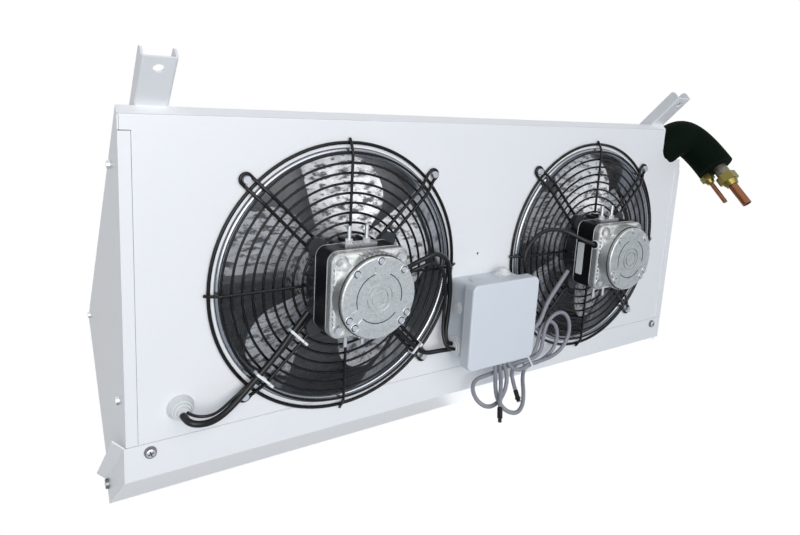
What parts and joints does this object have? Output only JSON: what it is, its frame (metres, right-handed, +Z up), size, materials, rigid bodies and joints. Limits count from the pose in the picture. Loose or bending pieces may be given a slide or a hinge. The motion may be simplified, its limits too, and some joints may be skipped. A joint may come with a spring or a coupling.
{
  "type": "ceiling evaporator unit cooler",
  "caption": "Slanted ceiling-hung evaporator cooler for a cold room: fans behind wire guards blow through a finned coil, over a drip tray, with insulated pipe stubs and a junction box",
  "frame": {"origin": "the middle of the four hanging holes, on the underside of the rails, where the casing's top bears", "axes": "X along the casing, +Y to the coil side at the back, +Z up to the ceiling"},
  "size_m": [0.8536, 0.476, 0.3077],
  "materials": {
    "white_sheet": "smooth white coated sheet",
    "galvanised": "galvanised sheet",
    "zinc_screws": "zinc plated",
    "black_screws": "black",
    "spout_plastic": "light grey",
    "fin_foil": "bright foil",
    "copper": null,
    "nut_brass": "bare",
    "foam": "closed cell foam",
    "guard_wire": "black coated wire",
    "motor_alloy": "die cast, bare and matt",
    "motor_black": "black",
    "steel_shaft": "ground",
    "box_plastic": "light grey",
    "grommet_rubber": "light grey",
    "block_plastic": "cream",
    "cable_black": "cable jacket",
    "cable_grey": "cable jacket",
    "tie_plastic": "white"
  },
  "bodies": {
    "root": {"top_panel": "white_sheet", "fan_panel": "white_sheet", "left_side_panel": "white_sheet", "right_side_panel": "white_sheet", "drip_tray": "white_sheet", "drain_spout": "spout_plastic", "left_hanger_rail": "white_sheet", "right_hanger_rail": "white_sheet", "casing_screws": "zinc_screws", "tray_screws": "black_screws", "coil_fins": "fin_foil", "coil_tubes": "copper", "left_coil_plate": "galvanised", "right_coil_plate": "galvanised", "suction_header": "copper", "liquid_manifold": "copper", "liquid_pipe": "copper", "suction_pipe": "copper", "pipe_insulation": "foam", "suction_adaptor": "nut_brass", "suction_flare_nut": "nut_brass", "suction_stub": "copper", "liquid_flare_nut": "nut_brass", "liquid_stub": "copper", "motor_bearings": "steel_shaft", "motor_screws": "zinc_screws", "guard_screws": "zinc_screws", "box_base": "box_plastic", "box_grommets": "grommet_rubber", "terminal_block": "block_plastic", "cable_gland": "grommet_rubber", "left_nozzle_ring": "white_sheet", "left_guard": "guard_wire", "left_motor_rear_shield": "motor_black", "left_motor_stator": "motor_black", "left_motor_front_shield": "motor_alloy", "left_motor_cover": "motor_alloy", "left_motor_brackets": "zinc_screws", "right_nozzle_ring": "white_sheet", "right_guard": "guard_wire", "right_motor_rear_shield": "motor_black", "right_motor_stator": "motor_black", "right_motor_front_shield": "motor_alloy", "right_motor_cover": "motor_alloy", "right_motor_brackets": "zinc_screws", "motor_leads": "cable_black", "looped_sensor_cord": "cable_grey", "black_sensor_cord": "cable_black", "plain_sensor_cord": "cable_grey", "probe_tips": "cable_black", "cable_ties": "tie_plastic"},
    "left_fan": {"left_fan_blades": "galvanised", "left_fan_hub": "galvanised", "left_motor_shaft": "steel_shaft", "left_motor_rotor": "galvanised"},
    "right_fan": {"right_fan_blades": "galvanised", "right_fan_hub": "galvanised", "right_motor_shaft": "steel_shaft", "right_motor_rotor": "galvanised"},
    "lid": {"box_lid": "box_plastic"}
  },
  "joints": [
    {"name": "left_fan_spin", "type": "hinge", "parent": "root", "child": "left_fan", "pos_m": [-0.165, -0.04715, -0.09976], "axis": [0, -0.6947, -0.7193], "continuous": true},
    {"name": "right_fan_spin", "type": "hinge", "parent": "root", "child": "right_fan", "pos_m": [0.21, -0.04715, -0.09976], "axis": [0, -0.6947, -0.7193], "continuous": true},
    {"name": "box_lid_pull", "type": "slide", "parent": "root", "child": "lid", "axis": [0, -0.6947, -0.7193], "range_m": [0, 0.05]}
  ]
}
